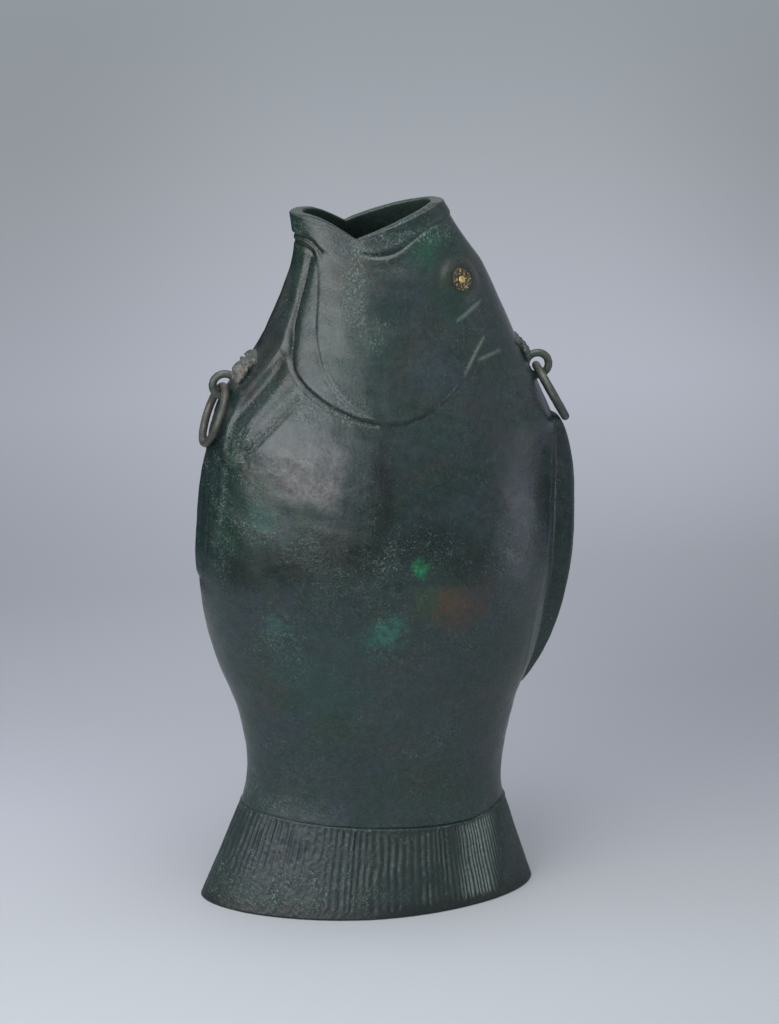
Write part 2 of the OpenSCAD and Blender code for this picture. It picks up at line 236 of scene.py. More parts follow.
# Lines on the fish's side, as [x, z]
GILL_FRONT = np.array([
    [-33.8, 304], [-36.2, 292], [-38.2, 285], [-39.9, 279.5], [-42.3, 270.7], [-44.3, 260.5],
    [-43.6, 254], [-40.5, 248.8], [-36, 244.8], [-31, 241.5], [-24, 238], [-17, 235.2],
    [-9.7, 233.6]])
GILL_REAR = np.array([
    [-9.7, 233.6], [-1, 233.4], [7.8, 235.4], [16, 239.7], [24.4, 246.1], [31, 253.8],
    [36.3, 261.7], [39.1, 265.5]])
PLATE_FRONT = np.array([
    [-33, 302], [-32, 295], [-32.2, 286.8], [-33, 278.8], [-33.9, 270.8], [-33.6, 262.2],
    [-31.8, 254.5], [-28.2, 247.6], [-23.6, 242.1], [-16.5, 237.5]])
FIN_TOP = np.array([
    [-37.5, 297], [-38.9, 290.7], [-41.1, 281.3], [-45, 270.1], [-48.8, 261.2], [-57.2, 248.9],
    [-65.2, 238.5], [-70.6, 228.7], [-73.2, 220], [-73.4, 214.8], [-70.5, 212.6], [-66.5, 214.4]])
FIN_GROOVE = np.array([
    [-46.5, 258.5], [-52, 249.8], [-57.5, 243], [-63, 236.6], [-68.3, 229.5], [-71, 221.5]])
FIN_RIDGE = np.array([
    [-44.8, 254], [-50, 246.8], [-56, 239.7], [-61.5, 233.3], [-66.8, 225.5]])
FIN_LOW = np.array([
    [-40, 245.8], [-46.5, 240.2], [-53, 233.4], [-59.5, 226.2], [-65.5, 219.6], [-69.5, 216.5]])
LIP_CREASE = np.array([
    [-17.5, 305.5], [-13.5, 303], [-8, 302], [-2, 302.3], [3, 304], [8, 307], [14.5, 310.5],
    [21, 312.8], [27, 313.3]])
BACK_EDGE = np.array([
    [72.4, 212], [70.7, 204.6], [70.2, 186.4], [69.6, 167.7], [66.6, 150], [63.1, 131.5],
    [60.7, 113.9], [58.6, 101]])
# Clouds of pale crust, and dark clouds of dirt and painted shade, the shade chiefly in the band
# across the belly: x, z, half width, half height and strength
PALE_CLOUDS = (
    (-17, 290, 6, 24, 0.8), (-14, 303, 9, 4, 0.95), (4, 308, 16, 4, 0.7), (18, 308, 12, 5, 0.95),
    (-12, 270, 9, 10, 0.35), (-42, 240, 10, 8, 0.5), (-39, 312, 4, 6, 0.8), (-22, 241, 12, 5, 0.5),
    (-76, 190, 6, 32, 0.6), (-66, 205, 9, 9, 0.35), (-62, 186, 12, 9, 0.5),
    (-40, 178, 16, 12, 0.3), (-22, 170, 20, 15, 0.32), (2, 178, 22, 16, 0.3),
    (20, 172, 16, 10, 0.25), (-14, 200, 5, 26, 0.25), (-5, 128, 16, 12, 0.2),
    (-56, 132, 14, 20, 0.2), (33, 281, 6, 4, 0.2), (-66, 58, 9, 12, 0.7), (-44, 50, 22, 6, 0.4),
    (52, 60, 5, 14, 0.4))
DIRT_AND_SHADE_CLOUDS = (
    (-10, 205, 7, 30, 0.75), (-26, 178, 22, 13, 0.8), (-50, 171, 18, 10, 0.7),
    (-70, 164, 12, 10, 0.6), (10, 180, 20, 12, 0.6), (30, 168, 14, 14, 0.5),
    (-51, 262, 8, 20, 0.65), (-62, 250, 6, 16, 0.5))
# The eye's place, the radius at which its socket has died out, how far the inlay's face
# stands out of the skin, and the inlay's radius
EYE_X, EYE_Z = 29.9, 288.8
SOCKET_R, SOCKET_TOP, INLAY_R = 11.6, 0.9, 5.0


def eye_frame():
    """The eye's centre on the skin and its outward direction, on the +Y side."""
    d = 0.5
    nx = (side_y(EYE_X - d, EYE_Z) - side_y(EYE_X + d, EYE_Z)) / (2 * d)
    nz = (side_y(EYE_X, EYE_Z - d) - side_y(EYE_X, EYE_Z + d)) / (2 * d)
    n = np.array([float(nx), 1.0, float(nz)])
    return np.array([EYE_X, float(side_y(EYE_X, EYE_Z)), EYE_Z]), n / np.linalg.norm(n)


def relief(p):
    """The relief of each point of the +Y side."""
    x, z = p[:, 0], p[:, 2]
    r = Relief(p)

    # Gill cover and cheek plate, which sink into the skin towards the eye and the lips
    sunk = (1 - smoothstep(0, 40, x)) * (1 - smoothstep(280, 304, z))
    closing = np.array([[60, 300], [20, 335], [-33.8, 335]])
    r.plate(np.vstack([GILL_FRONT, GILL_REAR[1:], closing]), 1.0, 1.9, sunk)
    plate = np.vstack([PLATE_FRONT, [[-9.7, 234.2]], GILL_REAR[1:] + [0, 0.4], closing])
    r.plate(plate, 0.3, 1.8, sunk)
    r.line(GILL_FRONT[:7], -1.0, 2.1, (0.1, 0.25), dark=0.9)
    r.line(GILL_FRONT[4:] - [0.3, 0.5], -0.85, 1.1, (0.1, 0.02), pale=0.5, dark=0.9)
    r.line(GILL_FRONT[8:] - [0.5, 1.2], 0.1, 2.0, (0.3, 0.2), pale=0.7)
    r.line(GILL_REAR[:-2] - [0, 0.4], -0.4, 0.8, (0.02, 0.6), pale=0.25, dark=0.55)
    r.line(PLATE_FRONT, -0.22, 0.9, (0.25, 0.25), dark=0.22)
    r.line(PLATE_FRONT[5:] + [0.9, 0.6], 0.15, 1.2, (0.3, 0.3), pale=0.2)
    r.line([[27.6, 249.5], [34.1, 258.6], [39.8, 265.2]], 0.5, 0.6, (0.3, 0.2), 0.4, rubbed_and_painted_light=0.55)
    r.line([[25.7, 272.3], [32.6, 275.8], [39.6, 279.2]], 0.5, 0.6, (0.2, 0.35), 0.4, rubbed_and_painted_light=0.55)
    r.line([[34.4, 255.6], [41.4, 256.8], [48, 257.3]], 0.45, 0.6, (0.3, 0.4), 0.3, rubbed_and_painted_light=0.45)

    # Side fin: two broad rays with a groove between and another under them
    leaf = np.vstack([FIN_TOP[4:], FIN_LOW[::-1] - [0.5, 2], [[-42, 250]]])
    r.plate(leaf, 0.6, 2.2)
    r.line(FIN_TOP, 0.85, 2.0, (0.3, 0.05), pale=0.15, rubbed_and_painted_light=0.06)
    r.line(FIN_TOP - [3.2, 1.6], -0.5, 2.4, (0.3, 0.2), dark=0.5)
    r.line(FIN_GROOVE, -0.75, 2.0, (0.3, 0.3), pale=0.25, dark=0.55)
    r.line(FIN_RIDGE, 0.6, 2.6, (0.3, 0.3), pale=0.4)
    r.line(FIN_LOW, -1.0, 2.3, (0.2, 0.15), pale=0.6, dark=0.75)
    r.line(FIN_LOW - [1.4, 3.8], 0.3, 2.2, (0.35, 0.3))
    grains = np.clip(swell(p, 2.6, 3) * 1.6, -1, 1)
    tip = 1 - smoothstep(0.5, 1.3, np.hypot((x + 67) / 8, (z - 221) / 9))
    r.h += 0.12 * tip * grains
    r.pale = np.maximum(r.pale, 0.6 * tip)

    # Throat: a fold in the brown band along the belly's edge
    r.line([[-41, 290], [-46, 276], [-54.5, 260.5], [-64, 247]], -0.5, 3.6, (0.3, 0.3), dark=0.6)

    # Lower lip: a roll with two creases under it at the corner of the mouth, darkened as painted
    # shadow under the roll
    rolled = 1 - smoothstep(-34, -22, x)
    lower = np.array([[-52, 308.6], [-39.5, 308.2], [-36.5, 308.2], [-33.7, 307], [-30.5, 303.8],
                      [-22, 303], [-18, 330], [-52, 330]])
    r.plate(lower, 0.85, 2.4, rolled)
    r.line([[-42, 308], [-39.5, 307.8], [-36.7, 307.9], [-33.7, 306.6], [-30.8, 303],
            [-29.6, 299]], -0.6, 0.9, (0.02, 0.4), dark=0.7)
    r.line([[-41.5, 306.1], [-36.6, 305.9], [-33, 304], [-31.6, 299.5]], 0.3, 0.8, (0.02, 0.4))
    r.line([[-41, 304.4], [-39.2, 304.2], [-36.4, 303.6], [-33.6, 301.4], [-32.9, 297]],
           -0.5, 0.85, (0.02, 0.4), dark=0.6)

    # Upper lip: a band that widens from the notch, over a crease with a soft fold under it
    band = np.vstack([LIP_CREASE, [[42, 330], [-17.5, 330]]])
    bulge = smoothstep(-19, -8, x) * (0.75 + 0.7 * np.exp(-((x - 2) / 13) ** 2))
    r.plate(band, 1.0, 1.6, bulge)
    r.line(LIP_CREASE, -0.45, 0.9, (0.25, 0.1), dark=0.35)
    r.line(LIP_CREASE - [0, 2.4], 0.4, 1.3, (0.35, 0.15), pale=0.3)
    r.line([[-12, 306], [-2, 307], [8, 311.5], [19, 315.6]], -0.25, 2.2, (0.3, 0.2), dark=0.3)

    # Edges of the belly fin and the back fin
    r.line([[-78.6, 211], [-79.5, 204.9], [-80.3, 192], [-80.8, 178.9], [-81.7, 164.4]],
           -0.75, 1.2, (0.15, 0.25), dark=0.5)
    r.line([[-74.8, 212.5], [-75.4, 199.6], [-77, 185.9], [-79.4, 172]], 0.7, 2.2, (0.2, 0.3))
    r.line(BACK_EDGE, 0.24, 1.1, (0.2, 0.1), pale=0.25, rubbed_and_painted_light=0.15)

    for mark, clouds in ((r.pale, PALE_CLOUDS), (r.dark, DIRT_AND_SHADE_CLOUDS)):
        for cloud in clouds:
            r.cloud(mark, *cloud)

    # Eye socket: a flat disc with a low rim and a seat for the inlay
    centre, n = eye_frame()
    away = np.linalg.norm(p - centre, axis=1)
    k = away < SOCKET_R + 1
    out = (p[k] - centre) @ n
    disc = 1 - smoothstep(INLAY_R + 0.3, SOCKET_R, away[k])
    seat = 1 - smoothstep(INLAY_R - 0.1, INLAY_R + 0.25, away[k])
    r.h[k] += disc * (SOCKET_TOP - 0.1 - out) - 0.45 * seat
    seam = np.exp(-((away[k] - INLAY_R - 0.4) / 0.8) ** 2)
    r.dark[k] = np.maximum(r.dark[k], 0.6 * seam)
    return r


# Fins: side, lowest point, highest point, height, taper at the bottom and the top
FINS = {"back": (1, 93, 221, 10.2, 1.5, 2.6), "belly": (-1, 153, 212, 1.7, 8, 2.6)}
# Thickness of a fin at its root and at its edge
FIN_ROOT, FIN_EDGE = 9.0, 3.0


def fin_share(z, low, high, taper_low, taper_high):
    """How much of a fin's height is left at a height of the body, from 0 to 1."""
    t = (z - low) / (high - low)
    w = np.clip(np.abs(2 * t - 1), 0, 1)
    return np.sqrt(np.maximum(0, 1 - w ** np.where(t > 0.5, taper_high, taper_low)))


def soft_max(a, b, r):
    """The greater of two values, with a rounded change from one to the other."""
    return 0.5 * (a + b + np.sqrt((a - b) ** 2 + r * r))


def even(x, y, n):
    """Positions along a polyline that divide its length into n equal parts."""
    s = np.concatenate([[0], np.cumsum(np.hypot(np.diff(x), np.diff(y)))])
    return np.interp(np.linspace(0, s[-1], n + 1), s, np.arange(len(s)))


def half_outline(z, n_back, n_side, n_belly, fins=True):
    """Half a section from the back edge round to the belly edge: the points
    with the fins, and those of the plain skin under them. Near the edges, up to
    y1 from the middle plane, the points are spaced for the fins."""
    a, mid, b, n = oval(z)
    y1 = min(6.5, 0.42 * b)
    outer, plain = [], []
    for name, count in (("back", n_back), ("side", n_side), ("belly", n_belly)):
        if name == "side":
            t1 = math.asin((y1 / b) ** (n / 2))
            t = np.linspace(t1, math.pi - t1, 500)
            x = mid + a * signed_power(np.cos(t), 2 / n)
            y = b * np.sin(t) ** (2 / n)
            k, steps = even(x, y, count), np.arange(len(t))
            flank = np.stack([np.interp(k, steps, v) for v in (x, y)], 1)[1:]
            outer.append(flank)
            plain.append(flank)
            continue
        side, low, high, tall, taper_low, taper_high = FINS[name]
        y = np.linspace(0, y1, 320)
        flat = side * mid + a * (1 - (y / b) ** n) ** (1 / n)
        share = float(fin_share(z, low, high, taper_low, taper_high)) if fins else 0
        x = flat
        if share > 0:
            root, reach = flat[0], flat[0] + tall * share
            edge = FIN_EDGE / 2 * (0.3 + 0.7 * share)
            half = FIN_ROOT / 2 * (0.45 + 0.55 * share) * 0.85
            fall = reach - (y - edge) * (reach - root + 0.3) / (half - edge)
            face = 0.5 * (reach + fall - np.sqrt((reach - fall) ** 2 + 0.8 * share))
            x = soft_max(flat, face, 1.1 * share)
            x = np.maximum(flat, np.minimum(x, reach))
        k, steps = even(x, y, count), np.arange(len(y))
        ys, xs, fs = (np.interp(k, steps, v) for v in (y, x, flat))
        o, q = np.stack([side * xs, ys], 1), np.stack([side * fs, ys], 1)
        if name == "belly":
            o, q = o[::-1][1:], q[::-1][1:]
        outer.append(o)
        plain.append(q)
    return np.vstack(outer), np.vstack(plain)


def mouth_z(x):
    """Height of the rim over a place along X: the notch between the two lips."""
    return np.interp(x, *np.transpose([
        [-42, 318], [-38, 317.8], [-33, 316.8], [-28, 314.8], [-23, 312.2], [-19, 309.9],
        [-16.5, 308.4], [-15.5, 308.4], [-12, 309.6], [-6, 311.2], [2, 313.6], [14, 317.4],
        [22, 319.7], [26, 320]]))


def step_z(x):
    """Height of the tail's upper edge over a place along X."""
    return np.interp(x, *np.transpose([
        [-66, 44.6], [-43, 43], [-20, 41.6], [1, 40.6], [18, 39.4], [38, 38.6], [47, 40],
        [56, 41.6]]))


def along_normals(grid):
    """Outward unit normals of a half grid whose rows go up."""
    du = np.gradient(grid, axis=1)
    dv = np.gradient(grid, axis=0)
    n = np.cross(du, dv)
    n[:, [0, -1], 1] = 0
    n /= np.maximum(np.linalg.norm(n, axis=2, keepdims=True), 1e-9)
    return n * np.sign(np.sum(n * grid * [1, 1, 0], axis=2).mean())


def mirrored(half):
    """A closed ring of columns from a half grid: +Y side, then -Y side."""
    return np.concatenate([half, half[:, -2:0:-1] * [1, -1, 1]], axis=1)


def body_at(node):
    """The moving body that a CAD node belongs to."""
    bodies = frame["record"]["behaviour"]["bodies"]
    return next(body for body, members in bodies.items() if node in members)


def new_object(name, data):
    """An object in the scene."""
    made = bpy.data.objects.new(name, data)
    bpy.context.scene.collection.objects.link(made)
    return made


def add_mesh(name, points, faces, node, material, marks=None):
    """A smooth piece from millimetre points, inside the CAD's box, that stands for a
    CAD node. Marks are numbers for each point, which the material reads by name."""
    low, high = (np.array(c) / MM for c in cad_box)
    points = np.clip(np.asarray(points, float), low, high)
    mesh = bpy.data.meshes.new(name)
    tri = np.asarray([[f[0], f[i], f[i + 1]] for f in faces for i in range(1, len(f) - 1)])
    a, b, c = points[tri[:, 0]], points[tri[:, 1]], points[tri[:, 2]]
    if np.sum(a * np.cross(b, c)) < 0:
        faces = [f[::-1] for f in faces]
    mesh.from_pydata((points * MM).tolist(), [], faces)
    mesh.polygons.foreach_set("use_smooth", [True] * len(mesh.polygons))
    for mark, values in (marks or {}).items():
        mesh.attributes.new(mark, "FLOAT", "POINT").data.foreach_set("value", values)
    mesh.update()
    piece = new_object(name, mesh)
    mesh.materials.append(material)
    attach(piece, body_at(node))
    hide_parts(node)


def ring_faces(rows, cols, wrap_rows=False):
    """Quads of a grid whose columns close on themselves."""
    faces = []
    for r in range(rows if wrap_rows else rows - 1):
        r2 = (r + 1) % rows
        for c in range(cols):
            c2 = (c + 1) % cols
            faces.append([r * cols + c, r * cols + c2, r2 * cols + c2, r2 * cols + c])
    return faces


def inset_from(curve, wall):
    """A half section moved in by the wall. Its rows are [x, y]."""
    along = np.gradient(curve, axis=0)
    push = np.stack([-along[:, 1], along[:, 0]], 1)
    push[0], push[-1] = [-1, 0], [1, 0]
    push = unit(push)
    push *= -np.sign(np.sum(push * (curve - [MOUTH_MID, 0])))
    moved = curve + push * wall
    moved[0, 1] = moved[-1, 1] = 0
    return moved


def fish_body(material):
    """The hollow body: its skin with fins and relief, the rim and the wall inside."""
    levels = np.arange(FLOOR_Z, TIP_Z + 0.01, 0.6)
    curves = [half_outline(z, 18, 300, 12) for z in levels]
    with_fins, plain = (np.array(c) for c in zip(*curves))
    cols = with_fins.shape[1]

    # Each column ends at the mouth's rim, less the rim's own rounding
    rim_r = LIP_WALL / 2
    tops = np.empty(cols)
    for c in range(cols):
        over = levels - (mouth_z(plain[:, c, 0]) - rim_r)
        k = int(np.argmax(over >= 0)) if np.any(over >= 0) else len(levels) - 1
        part = over[k - 1] / (over[k - 1] - over[k]) if over[k] >= 0 else 1
        tops[c] = levels[k - 1] + part * (levels[k] - levels[k - 1])

    # Rows are level up to bend_z and finer from fine_z. Over bend_z they bend to meet the rim.
    bend_z, fine_z = 280.0, 205.0
    rows = np.concatenate([np.arange(FLOOR_Z, fine_z, 1.0), np.arange(fine_z, bend_z, 0.6),
                           np.linspace(bend_z, TIP_Z, 64)])
    half = np.empty((len(rows), cols, 3))
    for c in range(cols):
        bent = bend_z + (rows - bend_z) * (tops[c] - bend_z) / (TIP_Z - bend_z)
        z = np.where(rows < bend_z, rows, bent)
        for axis in (0, 1):
            half[:, c, axis] = np.interp(z, levels, with_fins[:, c, axis])
        half[:, c, 2] = z

    # Relief and an uneven cast, which both end under the tail's upper edge
    skin = half.reshape(-1, 3).copy()
    normals = along_normals(half).reshape(-1, 3)
    cast = relief(skin)
    height = cast.h + 0.16 * swell(skin, 34, 1) + 0.09 * swell(skin, 12, 2)
    under_tail = smoothstep(0.9, 0.1, skin[:, 2] - step_z(skin[:, 0]) + 0.9)
    height = height * (1 - under_tail) - 0.8 * under_tail
    half = (skin + normals * height[:, None]).reshape(half.shape)
    half[:, [0, -1], 1] = 0

    # The wall inside, thicker at the tips of the lips, and the rim over to it
    def inside_at(z, depth):
        curve = np.array([[np.interp(z[c], levels, plain[:, c, axis]) for axis in (0, 1)]
                          for c in range(cols)])
        near_rim = np.clip(1 - depth / 15, 0, 1)
        curve[:, 0] -= TIP_EXTRA * near_rim * (curve[:, 0] - MOUTH_MID) / MOUTH_HALF
        return inset_from(curve, WALL + (LIP_WALL - WALL) * near_rim)

    top = half[-1]
    brim = inside_at(top[:, 2], 0)
    rim = []
    for turn in np.linspace(0, math.pi, 11)[1:]:
        q = top.copy()
        q[:, :2] += (brim - top[:, :2]) * (1 - math.cos(turn)) / 2
        q[:, 2] += rim_r * math.sin(turn) ** 0.7
        rim.append(q)
    inner = []
    for share in np.linspace(0, 1, 60)[1:] ** 1.4:
        z = top[:, 2] + (FLOOR_Z - top[:, 2]) * share
        inner.append(np.column_stack([inside_at(z, share * (TIP_Z - FLOOR_Z)), z]))
    whole = mirrored(np.concatenate([half, np.array(rim), np.array(inner)]))

    # Marks of the skin, of the rim's rows and of the wall inside; the wall inside is lightened as
    # painted light
    marks, start, end = {}, len(rows), len(rows) + 8
    for mark, on_rim, within in (("pale", 0.4, 0), ("dark", 0, 0), ("rubbed_and_painted_light", 0, 0.12)):
        full = np.zeros((len(whole), cols))
        full[:start] = getattr(cast, mark).reshape(start, cols)
        full[start:end] = on_rim
        full[end:] = within
        marks[mark] = np.concatenate([full, full[:, -2:0:-1]], axis=1).ravel()
    faces = ring_faces(len(whole), whole.shape[1], True)
    add_mesh("fish_body_skin", whole.reshape(-1, 3), faces, "fish_body",
             material, marks)


def tail_foot(material):
    """The ribbed tail: its rays, the seat under the body, the floor's ledge and the hollow."""
    rays, per_ray = 132, 10
    cols = rays * per_ray

    # Columns are shared out round the section at middle_z, closer towards the back edge
    middle_z = 21.0
    half = half_outline(middle_z, 6, 300, 6, fins=False)[1]
    loop = np.concatenate([half, half[-2:0:-1] * [1, -1], half[:1]])
    a, mid, b, n = oval(middle_z)
    s = lengths(loop)
    dense = 1 + 0.75 * smoothstep(8, 30, loop[:, 0])
    count = np.concatenate([[0], np.cumsum((dense[1:] + dense[:-1]) / 2 * np.diff(s))])
    rng = np.random.default_rng(11)
    width = rng.uniform(0.72, 1.28, rays)
    edges = np.concatenate([[0], np.cumsum(width)]) / width.sum() * rays
    turn = np.interp(np.arange(cols) / per_ray, np.arange(rays + 1), edges)
    k = np.interp(turn / rays * count[-1], count, s)
    x = (np.interp(k, s, loop[:, 0]) - mid) / a
    y = np.interp(k, s, loop[:, 1]) / b
    angle = np.arctan2(signed_power(y, n / 2), signed_power(x, n / 2))
    c, t = np.cos(angle), np.sin(angle)

    def ring_at(z, grow):
        reach, mid, b, n = oval(np.maximum(z, 0))
        return np.stack([mid + (reach + grow) * signed_power(c, 2 / n),
                         (b + grow) * signed_power(t, 2 / n), np.broadcast_to(z, c.shape)], 1)

    # Each ray has its own depth and its own ends at the foot and at the step line
    ray = np.arange(cols) // per_ray
    phase = (np.arange(cols) % per_ray) / per_ray
    depth = rng.uniform(0.55, 1.2, rays)[ray]
    start = rng.uniform(-1.0, 1.4, rays)[ray]
    stop = rng.uniform(-0.8, 0.8, rays)[ray]
    outer, pale, dark, rubbed_and_painted_light = [], [], [], []
    lowest, top = 0.55, step_z(mid + a * c)
    for share in np.linspace(0, 1, 64):
        z = lowest + (top - lowest) * share
        drawn_in = 0.55 * smoothstep(9, 0, top - z) * smoothstep(25, 50, np.abs(x * a))
        q = ring_at(z, 1.0 - drawn_in)
        line = 0.5 - 0.5 * np.cos(2 * math.pi * (phase + 0.12 * swell(q, 16, 5)))
        on = smoothstep(3.2 + start, 6.2 + start, z) * smoothstep(0.2, 1.8 + stop, top - z)

        # Worn in patches, low on the left and at the right end, but crisp in a band before it
        worn = 0.75 * smoothstep(-0.7, 0.8, swell(q, 17, 6) + 0.3 * swell(q, 4, 12))
        worn = np.maximum(worn, 0.9 * smoothstep(30, 14, z) * smoothstep(-12, -44, q[:, 0]))
        worn = np.maximum(worn, 0.85 * smoothstep(46, 54, q[:, 0]))
        crisp = 0.85 * smoothstep(26, 31, q[:, 0]) * smoothstep(50, 44, q[:, 0])
        worn = worn * (1 - crisp)
        cut = 0.62 * depth * on * (1 - worn) * line
        rough = 0.07 * np.clip(swell(q, 3.2, 8) + 0.2, -0.6, 1) + 0.1 * swell(q, 25, 9)
        nicks = 0.14 * smoothstep(0.2, 0.8, swell(q, 1.5, 10)) * (0.4 + worn)
        edge = 0.35 * np.exp(-((top - z - 0.7) / 0.8) ** 2) * smoothstep(-40, 10, q[:, 0])
        away = unit((q - [mid, 0, 0]) * [1 / a ** 2, 1 / b ** 2, 0])
        q = q + away * (rough + edge - cut - nicks)[:, None]
        q[:, 2] = z
        outer.append(q)

        # Darker in the grooves and towards the foot, rubbed ridges with a band of painted glints,
        # crust low on the left
        dark.append(np.clip(line * on * (1 - worn) * 0.5 + 0.9 * smoothstep(8.5, 4, z), 0, 1))
        band = smoothstep(25, 35, q[:, 0]) * smoothstep(49, 41, q[:, 0])
        painted_glint = 0.85 * band * (0.8 + 0.2 * swell(q, 30, 13))
        rubbed_and_painted_light.append(on * (1 - line) * (0.05 * (1 - worn) + painted_glint))
        ground = 0.35 * smoothstep(30, 16, z) * smoothstep(-12, -44, q[:, 0])
        step = 0.45 * np.exp(-((top - z - 0.5) / 0.9) ** 2)
        crust = np.clip(ground + step + 0.08 + 0.34 * swell(q, 9, 14), 0, 1)
        pale.append(crust * smoothstep(2, 6, z))

    # Over the step line, down the seat, in to the ledge, down the hollow and out to the foot
    z = outer[-1][:, 2]
    rest = [ring_at(z + 0.12, 0.2), ring_at(z + 0.08, -0.2), ring_at(z, -0.72)]
    for level, grow in ((35.9, -0.72), (35.9, -6.5), (31, -6.5), (30.8, -2.6), (24, -2.2),
                        (18, -2.2), (12, -2.2), (6, -2.2), (2, -2.2), (0.5, -2.2),
                        (0.12, -1.8), (0, -1.3), (0, 0.2), (0.15, 0.7)):
        rest.append(ring_at(np.full(cols, level), grow))
    whole = np.array(outer + rest)
    blank = np.zeros(len(rest) * cols)
    marks = {mark: np.concatenate([np.ravel(values), blank])
             for mark, values in (("pale", pale), ("dark", dark), ("rubbed_and_painted_light", rubbed_and_painted_light))}
    add_mesh("tail_foot_skin", whole.reshape(-1, 3), ring_faces(len(whole), cols, True),
             "tail_foot", material, marks)


# Lugs: side, height of the loop's centre and its distance from the body's edge
LUGS = {"back": (1, 243.0, 3.5), "belly": (-1, 240.6, 4.2)}
# The loop's hole and its wire's radius, the mask's width and height
LOOP_HOLE, LOOP_WIRE, MASK_W, MASK_H = 3.3, 1.8, 16.0, 15.5
# The rings: radius of the wire's middle line, and of the wire
RING_TURN, RING_R = 13.0, 1.8


def joined_solid(parts, voxel):
    """Ellipsoids, rings and tubes, each a pair of points and faces, melted into one."""
    points, faces = [], []
    for verts, quads in parts:
        k = len(points)
        points.extend(verts)
        faces.extend([[i + k for i in f] for f in quads])
    mesh = bpy.data.meshes.new("raw")
    mesh.from_pydata((np.array(points) * MM).tolist(), [], faces)
    raw = new_object("raw", mesh)
    remesh = raw.modifiers.new("melt", "REMESH")
    remesh.mode = "VOXEL"
    remesh.voxel_size = voxel * MM
    remesh.adaptivity = 0
    soft = raw.modifiers.new("soft", "SMOOTH")
    soft.factor = 0.5
    soft.iterations = 2
    dg = bpy.context.evaluated_depsgraph_get()
    done = raw.evaluated_get(dg).to_mesh()
    v = np.empty(len(done.vertices) * 3)
    done.vertices.foreach_get("co", v)
    quads = [list(q.vertices) for q in done.polygons]
    bpy.data.objects.remove(raw)
    return v.reshape(-1, 3) / MM, quads


def turns(n):
    """The angles of n equal steps round a circle."""
    return [2 * math.pi * i / n for i in range(n)]


def ball(centre, radii):
    """An ellipsoid."""
    n, m = 14, 28
    p = [[math.sin(f) * math.cos(g), math.sin(f) * math.sin(g), math.cos(f)]
         for f in turns(2 * n)[1:n] for g in turns(m)]
    p += [[0, 0, 1], [0, 0, -1]]
    top, low, last = len(p) - 2, len(p) - 1, (n - 2) * m
    faces = ring_faces(n - 1, m)
    faces += [[top, (j + 1) % m, j] for j in range(m)]
    faces += [[low, last + j, last + (j + 1) % m] for j in range(m)]
    return (np.array(p) * radii + centre).tolist(), faces


def torus(turn_r, wire_r, n=72, m=24):
    """A ring in the XZ plane, with n steps round it and m round its wire."""
    p = []
    for a in turns(n):
        for b in turns(m):
            r = turn_r + wire_r * math.cos(b)
            p.append([r * math.cos(a), wire_r * math.sin(b), r * math.sin(a)])
    return p, [[a, d, c, b] for a, b, c, d in ring_faces(n, m, True)]


def tube(points, radii):
    """A closed tube through points, with radii spread evenly along it."""
    m = 12
    c = np.asarray(points, float)
    r = np.interp(np.linspace(0, 1, len(c)), np.linspace(0, 1, len(radii)), radii)
    t = unit(np.gradient(c, axis=0))
    p = []
    for i in range(len(c)):
        u = np.cross(t[i], [0.3, 1.0, 0.2])
        u /= np.linalg.norm(u)
        w = np.cross(t[i], u)
        for b in turns(m):
            p.append((c[i] + r[i] * (math.cos(b) * u + math.sin(b) * w)).tolist())
    faces = ring_faces(len(c), m)
    faces += [list(range(m))[::-1], [(len(c) - 1) * m + j for j in range(m)]]
    return p, faces


